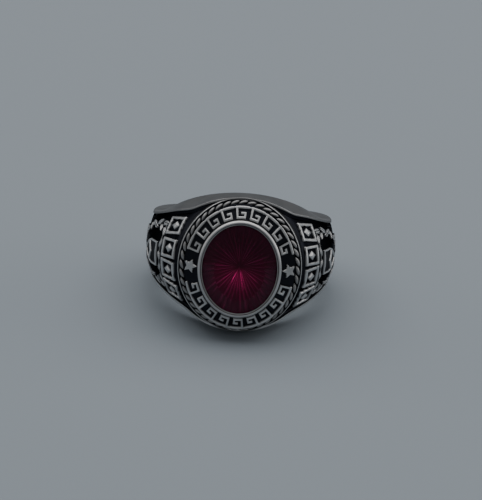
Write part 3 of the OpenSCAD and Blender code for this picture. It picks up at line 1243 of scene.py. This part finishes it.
    def skin(self) -> Skin:
        """Raises the panel's surface by its relief along its own normal, over a plain underside.

        Returns:
            The closed skin. At its far end the surface sinks below the plain shank's.
        """
        s = SIZES
        angles = np.linspace(self.start, s.panel_end + self.lap, self.round_steps)[:, None]
        a = np.broadcast_to(angles, (self.round_steps, self.along_steps))
        along = s.panel_half(angles) * np.linspace(-1.0, 1.0, self.along_steps)[None, :]
        radius = s.panel_r(a, along)
        base = ring_points(a, radius, along)
        normal = np.cross(np.gradient(base, axis=1), np.gradient(base, axis=0))
        normal /= np.linalg.norm(normal, axis=-1, keepdims=True)
        normal *= np.sign(np.sum(normal * ring_points(a, 1.0, 0 * along), axis=-1, keepdims=True))
        relief = self.ornament(a, along)
        sink = self.end_sink * smooth((a - (s.panel_end - self.end_run)) / self.end_run)
        top = base + normal * (relief.height - sink)[..., None]
        edge = ring_points(a[:, [0, -1]], radius[:, [0, -1]] - s.channel_depth, along[:, [0, -1]])
        under = ring_points(a, radius - self.thickness, along)[:, :: self.under_step]
        dark = relief.dark(s.relief_h) * s.panel_dark(a)
        ones = np.ones((self.round_steps, 1))
        points = np.concatenate([edge[:, :1], top, edge[:, 1:], under[:, ::-1]], axis=1)
        tint = np.concatenate([ones, dark, ones, np.ones(under.shape[:2])], axis=1)
        points[..., 0] *= self.side
        return Skin(points, tint, wrap_rows=False)


@dataclass
class Head:
    """The head above the platform: thin ridge, rope's seat, ornament band, bezel and the stone's seat.

    Its profile is a list of rows, each with two half sizes, height, share of the arch and dark share. The
    ridge is darker at the head's two ends, where the sine of the oval angle is over a limit. The fret's
    keys fill a share of their step and of the slope. Their rail's half width is a share of a bar's, and
    it stops a share of a step short of the fret's end.
    """

    steps: int = 960
    slope_steps: int = 40
    dark_rows: tuple[int, int] = (2, 8)
    end_dark: float = 0.75
    end_limits: tuple[float, float] = (0.9, 0.98)
    key_h: float = 1.65
    key_fill: float = 0.84
    slope_fill: float = 0.92
    rail_half: float = 0.36
    rail_short: float = 0.08
    star_swell: float = 0.05
    wall: float = 0.08

    def grown(self, out: float, z: float, arched: float, dark: float) -> Row:
        """A row that lies a distance outside the bezel."""
        return (*(SIZES.bezel_oval + out), z, arched, dark)

    def outer(self, out: float, z: float, arched: float, dark: float, ends: float = 0.0) -> Row:
        """A row outside the band, which is wider at the two sides, and may be so at the ends."""
        return (*(SIZES.bezel_oval + [out + SIZES.side_run, out + ends]), z, arched, dark)

    def ridge_profile(self) -> list[Row]:
        """Lists the rows from the outer foot over the thin ridge to the rope's seat.

        Returns:
            The rows, which end at the band's foot.
        """
        s = SIZES
        side = s.band_run + 1.8 * s.rope_r + s.ridge_w
        foot, inner = s.platform_z - s.head_edge_wall / 2, side - s.ridge_w
        top, seat = s.rope_z - 0.3 * s.rope_r, s.rope_z - 0.9 * s.rope_r
        return [
            self.outer(side, foot, 0, 0.9), self.outer(side, s.platform_z, 0.3, 0.6),
            self.outer(side, top - 0.12, 1, 0), self.outer(side - 0.02, top - 0.03, 1, 0),
            self.outer(side - 0.06, top, 1, 0), self.outer(inner + 0.04, top, 1, 0),
            self.outer(inner, top - 0.04, 1, 0.3), self.outer(inner - 0.01, seat, 1, 1),
            self.outer(s.band_run + 0.3, seat, 1, 1),
            self.outer(s.band_run + 0.02, seat + 0.1, 1, 1, s.end_run),
        ]

    def band_profile(self) -> list[Row]:
        """Lists the rows of the band.

        Returns:
            The rows, from the band's foot up to the bezel.
        """
        s, rows = SIZES, []
        bx, by = s.bezel_oval
        for share in np.linspace(0.0, 1.0, self.slope_steps):
            foot = 1 - share
            height = float(mix(s.band_foot_z, s.band_top_z, share))
            rows.append((
                bx + (s.band_run + s.side_run) * foot, by + (s.band_run + s.end_run) * foot,
                height, s.foot_share * foot, 1,
            ))
        return rows

    def collar_profile(self) -> list[Row]:
        """Lists the rows of the bezel, the stone's seat and the hidden underside.

        Returns:
            The rows, from the band's upper edge inwards and down.
        """
        s, grown = SIZES, self.grown
        top, lip_top, seat = s.bezel_top_z, s.girdle_top_z + s.lip_h, s.culet_z - 0.1
        return [
            grown(-0.01, s.band_top_z + 0.06, 0, 0.9), grown(-0.02, s.band_top_z + 0.2, 0, 0.15),
            grown(-0.03, top - 0.24, 0, 0), grown(-0.045, top - 0.19, 0, 0), grown(-0.19, top - 0.045, 0, 0),
            grown(-0.26, top, 0, 0), grown(-0.36, top - 0.01, 0, 0.1), grown(-0.42, top - 0.03, 0, 0.5),
            grown(-0.46, top - 0.12, 0, 1), grown(-0.5, top - 0.05, 0, 0.3), grown(-0.55, top - 0.07, 0, 0.1),
            grown(0.04 - s.bezel_wall - s.lip, lip_top + 0.07, 0, 0.3),
            grown(-s.bezel_wall - s.lip, lip_top + 0.01, 0, 1),
            grown(-s.bezel_wall, s.girdle_top_z, 0, 0), grown(-s.bezel_wall, s.girdle_foot_z, 0, 0),
            (0.35, 0.42, seat, 0, 0), (0.05, 0.06, seat - 0.02, 0, 0), (0.05, 0.06, seat - 0.3, 0, 1),
            grown(0.0, s.platform_z - s.head_edge_wall / 2, 0, 1),
        ]

    def band_ornament(self, t: np.ndarray, share: np.ndarray, slope: np.ndarray) -> Relief:
        """Draws the band's relief: in each arc a fret of nine keys on one rail, and a star at each side.

        Args:
            t: Oval angle of each point, in radians.
            share: Place of each point up the slope, from 0 at its foot to 1.
            slope: Length of the slope there.

        Returns:
            The gathered relief.
        """
        s = SIZES
        mid = s.bezel_oval + (s.band_run + np.array([s.side_run, s.end_run])) / 2
        per_degree = np.hypot(mid[0] * np.sin(t), mid[1] * np.cos(t)) * math.pi / 180
        degrees, up = np.degrees(t), (share - 0.5) * slope
        relief = Relief(t.shape, self.wall)
        step = (180 - 2 * s.star_span) / s.keys
        width = step * math.pi / 180 * (s.bezel_oval.sum() + s.band_run) / 2 * self.key_fill
        key = key_outline(width, self.key_h, s.bar_w)
        high = up / (slope * self.slope_fill / self.key_h)
        for base in (90, 270):
            offset = degrees - base
            index = np.clip(np.round(offset / step), -(s.keys // 2), s.keys // 2)
            along = -(offset - index * step) * per_degree
            relief.figure(inside_depth(along, high, key), s.relief_h)
            in_rail = self.rail_half * s.bar_w - np.abs(high + (self.key_h - s.bar_w) / 2)
            to_end = (step * (s.keys / 2 - self.rail_short) - np.abs(offset)) * per_degree
            relief.figure(np.minimum(in_rail, to_end), s.relief_h)
        for base in (0, 180):
            offset = (degrees - base + 180) % 360 - 180
            star = inside_depth(offset * per_degree, up, star_outline(s.star_r))
            relief.figure(star + self.star_swell, s.relief_h, 0.0)
        return relief

    def skin(self) -> Skin:
        """Carries the profile round the ovals, and raises the band by its relief along its normal.

        Returns:
            The closed skin.
        """
        s = SIZES
        t = np.linspace(0, 2 * math.pi, self.steps, endpoint=False)[:, None]
        ridge = self.ridge_profile()
        band = slice(len(ridge), len(ridge) + self.slope_steps)
        profile = zip(*ridge, *self.band_profile(), *self.collar_profile())
        half_x, half_y, height, arched, dark = (np.array(column)[None, :] for column in profile)
        points = head_points(half_x * np.cos(t), half_y * np.sin(t), height + arched * s.arch(t))
        tint = np.broadcast_to(dark, points.shape[:2]).copy()
        base = points[:, band]
        round_step = np.roll(base, -1, axis=0) - np.roll(base, 1, axis=0)
        normal = np.cross(round_step, np.gradient(base, axis=1))
        normal /= np.linalg.norm(normal, axis=-1, keepdims=True)
        normal *= np.sign(-normal[..., 1:2])
        slope = np.linalg.norm(base[:, -1] - base[:, 0], axis=-1)[:, None]
        share = np.linspace(0.0, 1.0, self.slope_steps)[None, :]
        relief = self.band_ornament(*np.broadcast_arrays(t, share, slope))
        points[:, band] = base + normal * relief.height[..., None]
        tint[:, band] = relief.dark(s.relief_h)
        low, high = self.end_limits
        ends, rows = smooth((np.abs(np.sin(t)) - low) / (high - low)), slice(*self.dark_rows)
        tint[:, rows] = np.maximum(tint[:, rows], self.end_dark * ends)
        return Skin(points, tint)


@dataclass
class Rope:
    """The rope border: slanting pointed beads in a row, each from its outer side in to its inner one.

    A bead's half width and half height shrink towards its tips as one minus the station squared, to a
    power. The last station is just short of the tip. Of its height above the bead's middle line, a point
    is black up to the one dark limit and bright from the other.
    """

    length: float = 1.62
    width: float = 0.58
    height: float = 0.38
    slant: float = 19.0
    power: float = 0.7
    last_station: float = 0.998
    dark_limits: tuple[float, float] = (0.32, 0.72)
    along_steps: int = 18
    round_steps: int = 16

    def to_object(self, name: str, crease: float) -> bpy.types.Object:
        """Makes one surface for all beads, with numbers for bead, station and point round it.

        A bead's middle line is turned by the slant and follows the oval and its arch.

        Args:
            name: Name of the object.
            crease: Angle in degrees over which an edge is sharp.

        Returns:
            The new object.
        """
        s = SIZES
        bead = (2 * math.pi / s.rope_beads * np.arange(s.rope_beads))[:, None, None]
        station = np.linspace(-1.0, 1.0, self.along_steps)[None, :, None] * self.last_station
        turn = np.linspace(0, 2 * math.pi, self.round_steps, endpoint=False)[None, None, :]
        taper = (1 - station ** 2) ** self.power
        side, ahead = self.width / 2 * taper * np.cos(turn), station * self.length / 2
        along, across = turned(ahead, side, self.slant)
        t = bead + along / np.hypot(s.rope_oval[0] * np.sin(bead), s.rope_oval[1] * np.cos(bead))
        ax, ay = np.cos(t) / s.rope_oval[0], np.sin(t) / s.rope_oval[1]
        size = np.hypot(ax, ay)
        x = s.rope_oval[0] * np.cos(t) + ax / size * across
        y = s.rope_oval[1] * np.sin(t) + ay / size * across
        rise = self.height * taper * np.sin(turn)
        z = s.rope_z + s.arch(t) + rise
        points = head_points(x, y, z)
        low, high = self.dark_limits
        dark = 1 - smooth((np.broadcast_to(rise, t.shape) / self.height - low) / (high - low))
        each = self.along_steps * self.round_steps
        tips = points[:, [0, -1]].mean(axis=2)
        points = np.concatenate([points.reshape(s.rope_beads, each, 3), tips], axis=1)
        dark = np.concatenate([dark.reshape(s.rope_beads, each), np.ones((s.rope_beads, 2))], axis=1)
        walls = grid_faces(self.along_steps, self.round_steps, False, True)
        ends = end_fans(self.round_steps, each, each + 1, each - self.round_steps)
        faces = np.concatenate([walls, *ends])
        faces = (faces[None] + np.arange(s.rope_beads)[:, None, None] * (each + 2)).reshape(-1, 4)
        flat = laid_down(points.reshape(-1, 3))
        return new_object(name, flat, outward(flat, faces), dark.reshape(-1), crease)


# The stone

@dataclass
class Stone:
    """The oval stone: flat table, plain conical crown, girdle and a pavilion cut in fine rays.

    The pavilion's rings and the foil's lines are given in shares of the stone's radius and of a ray's width.
    """

    columns_a_ray: int = 8
    crest: float = 0.14
    culet: float = 0.02
    pavilion: tuple[float, ...] = (0.05, 0.1, 0.15, 0.2, 0.25, 0.3, 0.4, 0.5, 0.6, 0.7, 0.8, 0.9, 0.97)
    girdle_edge: float = 0.03
    table_edge: tuple[float, float] = (0.006, 0.02)
    crease: float = 20.0
    line_w: float = 0.12
    # Painted highlights: the highlight rays, and the fan of stronger lines on the lower side.
    hot_rays: tuple[int, ...] = (26, 31)
    hot_more_w: float = 0.09
    highlight_fan_ray: float = 29.5
    highlight_fan_spread: float = 3.0
    highlight_fan_strength: float = 0.35
    # Painted light on the foil between the lines, towards the girdle.
    painted_glow: float = 0.05

    def ray_shares(self, shares: np.ndarray) -> np.ndarray:
        """How bright the foil's lines are, with a row for each ring of points.

        A line is a bell curve across its ray. Its strength and its length vary from ray to ray with sines
        of the ray's number, and a bell curve of that number adds a fan of stronger lines on the lower side,
        from a quarter of the radius on: painted highlight. The highlight rays are full and wider: painted
        highlights. A line rises out of the dim middle, falls off from a third of the radius on, and fades out
        over the last quarter of its length, so its strength is partly painted highlight. The foil between
        the lines has a little painted light towards the girdle.

        Args:
            shares: Radius of each ring of points, as a share of the stone's.

        Returns:
            The ray share, with a row for each ring and a column for each point round it.
        """
        column, u = np.arange(SIZES.rays * self.columns_a_ray), shares[:, None]
        number = column // self.columns_a_ray
        across = column % self.columns_a_ray / self.columns_a_ray - 0.5
        # Painted highlights: the highlight rays and, through fan, the stronger lines on the lower side.
        hot = np.isin(number, self.hot_rays)
        fan = np.exp(-(((number - self.highlight_fan_ray) / self.highlight_fan_spread) ** 2))
        strength = np.where(hot, 1.0, 0.2 + 0.5 * np.sin(2.4 * number) ** 6)
        strength = strength + self.highlight_fan_strength * fan * smooth((u - 0.25) / 0.2) * (1 - hot)
        strength = strength * np.exp(-((across / (self.line_w + self.hot_more_w * hot)) ** 2))
        length = 0.86 + 0.2 * np.sin(1.7 * number)
        rise = 0.3 + 0.7 * smooth((u - 0.06) / 0.14)
        fall = 1 - (0.2 + 0.4 * hot) * smooth((u - 0.3) / 0.3)
        # A little painted light on the foil between the lines.
        glow = self.painted_glow * smooth((u - 0.4) / 0.4) * (1 + 0.5 * fan)
        lines = strength * rise * fall * (1 - smooth((u - length + 0.25) / 0.25))
        return glow + lines * (1 - glow)

    def to_object(self, name: str) -> bpy.types.Object:
        """Makes rings of points from the culet up, closed by a small flat below and the table above.

        Each ray of the pavilion is a flute: it rises by one half wave of a sine across the ray.

        Args:
            name: Name of the object.

        Returns:
            The new object, which has the ray share as well.
        """
        s = SIZES
        count = s.rays * self.columns_a_ray
        t = np.linspace(0, 2 * math.pi, count, endpoint=False)
        wave = np.sin(np.arange(count) % self.columns_a_ray * math.pi / self.columns_a_ray)
        a, b = s.stone_oval
        back = [(self.culet, s.culet_z, 0.0)]
        back += [(u, s.girdle_foot_z - s.pavilion_h * (1 - u), 1.0) for u in self.pavilion]
        rows = back + [
            (1.0, s.girdle_foot_z + self.girdle_edge, 0.0), (1.0, s.girdle_top_z, 0.0),
            (s.table_share + self.table_edge[0], s.table_z - self.table_edge[1], 0.0),
            (s.table_share, s.table_z, 0.0),
        ]
        rings = [
            head_points(a * u * np.cos(t), b * u * np.sin(t), z + self.crest * wave * u * fluted)
            for u, z, fluted in rows
        ]
        centres = np.array([[0.0, -s.culet_z, 0.0], [0.0, -s.table_z, 0.0]])
        points = laid_down(np.concatenate([*rings, centres]))
        culet, table = len(points) - 2, len(points) - 1
        ends = end_fans(count, culet, table, (len(rows) - 1) * count)
        faces = np.concatenate([grid_faces(len(rows), count, False, True), *ends])
        foiled, rays = np.zeros(len(points)), np.zeros(len(points))
        foiled[:len(back) * count] = 1.0
        foiled[culet] = 1.0
        rays[:culet] = self.ray_shares(np.array([row[0] for row in rows])).ravel()
        gem = new_object(name, points, outward(points, faces), foiled, self.crease)
        layer = gem.data.attributes.new(RAY, "FLOAT", "POINT")
        layer.data.foreach_set("value", rays.astype(np.float32))
        return gem


# The whole ring and its studio

@dataclass
class ClassRing:
    """The ring's pieces, dressed in their finishes."""

    silver: AntiquedSilver = field(default_factory=AntiquedSilver)
    # A darker, rougher copy of the silver on the rope's beads.
    rope_silver: AntiquedSilver = field(default_factory=lambda: AntiquedSilver(
        "darker_rope_silver", silver=(0.37, 0.365, 0.36), tarnish=(0.27, 0.265, 0.26), silver_rough=0.44
    ))
    red: RedStone = field(default_factory=RedStone)

    def build(self) -> list[bpy.types.Object]:
        """Makes each piece in order.

        Returns:
            All the pieces.
        """
        silver, rope_silver, red = self.silver.material(), self.rope_silver.material(), self.red.material()
        cast = [
            Shank().skin().to_object("shank", crease=35),
            ShoulderPanel(side=1).skin().to_object("panel_right", crease=60),
            ShoulderPanel(side=-1).skin().to_object("panel_left", crease=60),
            Head().skin().to_object("head", crease=60),
        ]
        for piece in cast:
            place_piece(piece, silver, Slot.SILVER, "ring_body")
        rope = Rope().to_object("rope_border", crease=80)
        cast.append(place_piece(rope, rope_silver, Slot.SILVER, "ring_body"))
        gem = place_piece(Stone().to_object("gem"), red, Slot.STONE, "stone")
        return cast + [gem]


@dataclass(frozen=True)
class Softbox:
    """An oblong area lamp that faces a point over the ring."""

    name: str
    place: tuple[float, float, float]
    size: tuple[float, float]
    power: float
    colour: Colour = (1.0, 1.0, 1.0)
    aim: tuple[float, float, float] = (0.0, 0.0, 0.008)

    def build(self) -> None:
        """Makes the lamp and turns it to its aim."""
        lamp = bpy.data.lights.new(self.name, "AREA")
        lamp.shape = "RECTANGLE"
        lamp.size, lamp.size_y = self.size
        lamp.energy = self.power
        lamp.color = self.colour
        obj = bpy.data.objects.new(self.name, lamp)
        bpy.context.scene.collection.objects.link(obj)
        point_at(obj, np.array(self.place), np.array(self.aim), 0.0)


def point_at(obj: bpy.types.Object, place: np.ndarray, aim: np.ndarray, roll: float) -> None:
    """Puts an object at a place and turns its -z axis to an aim, rolled about it by some degrees.

    Args:
        obj: The camera or lamp.
        place: Where it stands, in metres.
        aim: The point that it faces.
        roll: Degrees by which its upper side leans to its left.
    """
    back = (place - aim) / np.linalg.norm(place - aim)
    right = np.cross((0.0, 0.0, 1.0), back)
    if np.linalg.norm(right) < 1e-6:
        right = np.array((1.0, 0.0, 0.0))
    right /= np.linalg.norm(right)
    up = np.cross(back, right)
    c, s = math.cos(math.radians(roll)), math.sin(math.radians(roll))
    right, up = c * right + s * up, c * up - s * right
    matrix = np.eye(4)
    matrix[:3, 0], matrix[:3, 1], matrix[:3, 2], matrix[:3, 3] = right, up, back, place
    obj.matrix_world = Matrix(matrix.tolist())


@dataclass
class Studio:
    """The pale floor, the soft lamps, the even surroundings and the camera.

    The photo's places are in pixels of its frame, from its upper left corner.
    """

    elevation: float = 27.7
    roll: float = 3.1
    distance: float = 0.9
    px_a_mm: float = 7.5
    frame_px: tuple[int, int] = (482, 500)
    stone_px: tuple[float, float] = (239.5, 269.8)
    floor_size: float = 3.0
    surround: Colour = (0.80, 0.84, 0.88)
    surround_power: float = 0.27
    sensor: float = 36.0

    def build(self) -> None:
        """Makes the whole studio."""
        self.floor()
        self.lamps()
        self.world()
        self.camera()

    def floor(self) -> None:
        """A flat square on which the ring lies."""
        h = self.floor_size / 2
        points = np.array([[-h, -h, 0], [h, -h, 0], [h, h, 0], [-h, h, 0]])
        obj = new_object("floor", points, np.array([[0, 1, 2, 3]]), np.zeros(4), crease=30)
        obj.data.materials.append(PlainFloor().material())

    def lamps(self) -> None:
        """One broad lamp overhead and two weak ones beside it."""
        for box in (
            Softbox("overhead", (0.0, 0.16, 0.60), (1.4, 0.76), 4.8),
            Softbox("left_side", (-0.60, 0.10, 0.20), (0.50, 0.30), 0.3),
            Softbox("right_side", (0.60, 0.10, 0.20), (0.50, 0.30), 0.6),
        ):
            box.build()

    def world(self) -> None:
        """Even grey surroundings."""
        world = bpy.data.worlds.new("surroundings")
        world.use_nodes = True
        ground = world.node_tree.nodes["Background"]
        ground.inputs["Color"].default_value = (*self.surround, 1.0)
        ground.inputs["Strength"].default_value = self.surround_power
        bpy.context.scene.world = world

    def camera(self) -> None:
        """A long lens that looks down on the head, rolled a little, with the stone at its place."""
        high, roll = math.radians(self.elevation), math.radians(self.roll)
        stone = laid_down(np.array([0.0, -SIZES.bezel_top_z, 0.0]))
        back = np.array([0.0, -math.cos(high), math.sin(high)])
        across, above = np.array([1.0, 0.0, 0.0]), np.array([0.0, math.sin(high), math.cos(high)])
        right = math.cos(roll) * across + math.sin(roll) * above
        up = math.cos(roll) * above - math.sin(roll) * across
        px_x = self.frame_px[0] / 2 - self.stone_px[0]
        px_y = self.stone_px[1] - self.frame_px[1] / 2
        aim = stone + (right * px_x + up * px_y) / self.px_a_mm * MM
        lens = bpy.data.cameras.new("camera")
        lens.sensor_fit = "HORIZONTAL"
        lens.sensor_width = self.sensor
        lens.lens = self.sensor * self.distance / (self.frame_px[0] / self.px_a_mm * MM)
        lens.clip_start = 0.01
        obj = bpy.data.objects.new("camera", lens)
        bpy.context.scene.collection.objects.link(obj)
        point_at(obj, aim + back * self.distance, aim, self.roll)
        bpy.context.scene.camera = obj
        LOG.info("camera %.1f degrees over a ring that leans %.1f", self.elevation, SIZES.rest_tilt)


def main() -> None:
    """Builds the ring and its studio, and reports each piece."""
    logging.basicConfig(level=logging.INFO, format="%(name)s: %(message)s")
    pieces = ClassRing().build()
    Studio().build()
    LOG.info("%d pieces", len(pieces))


if __name__ == "__main__":
    main()
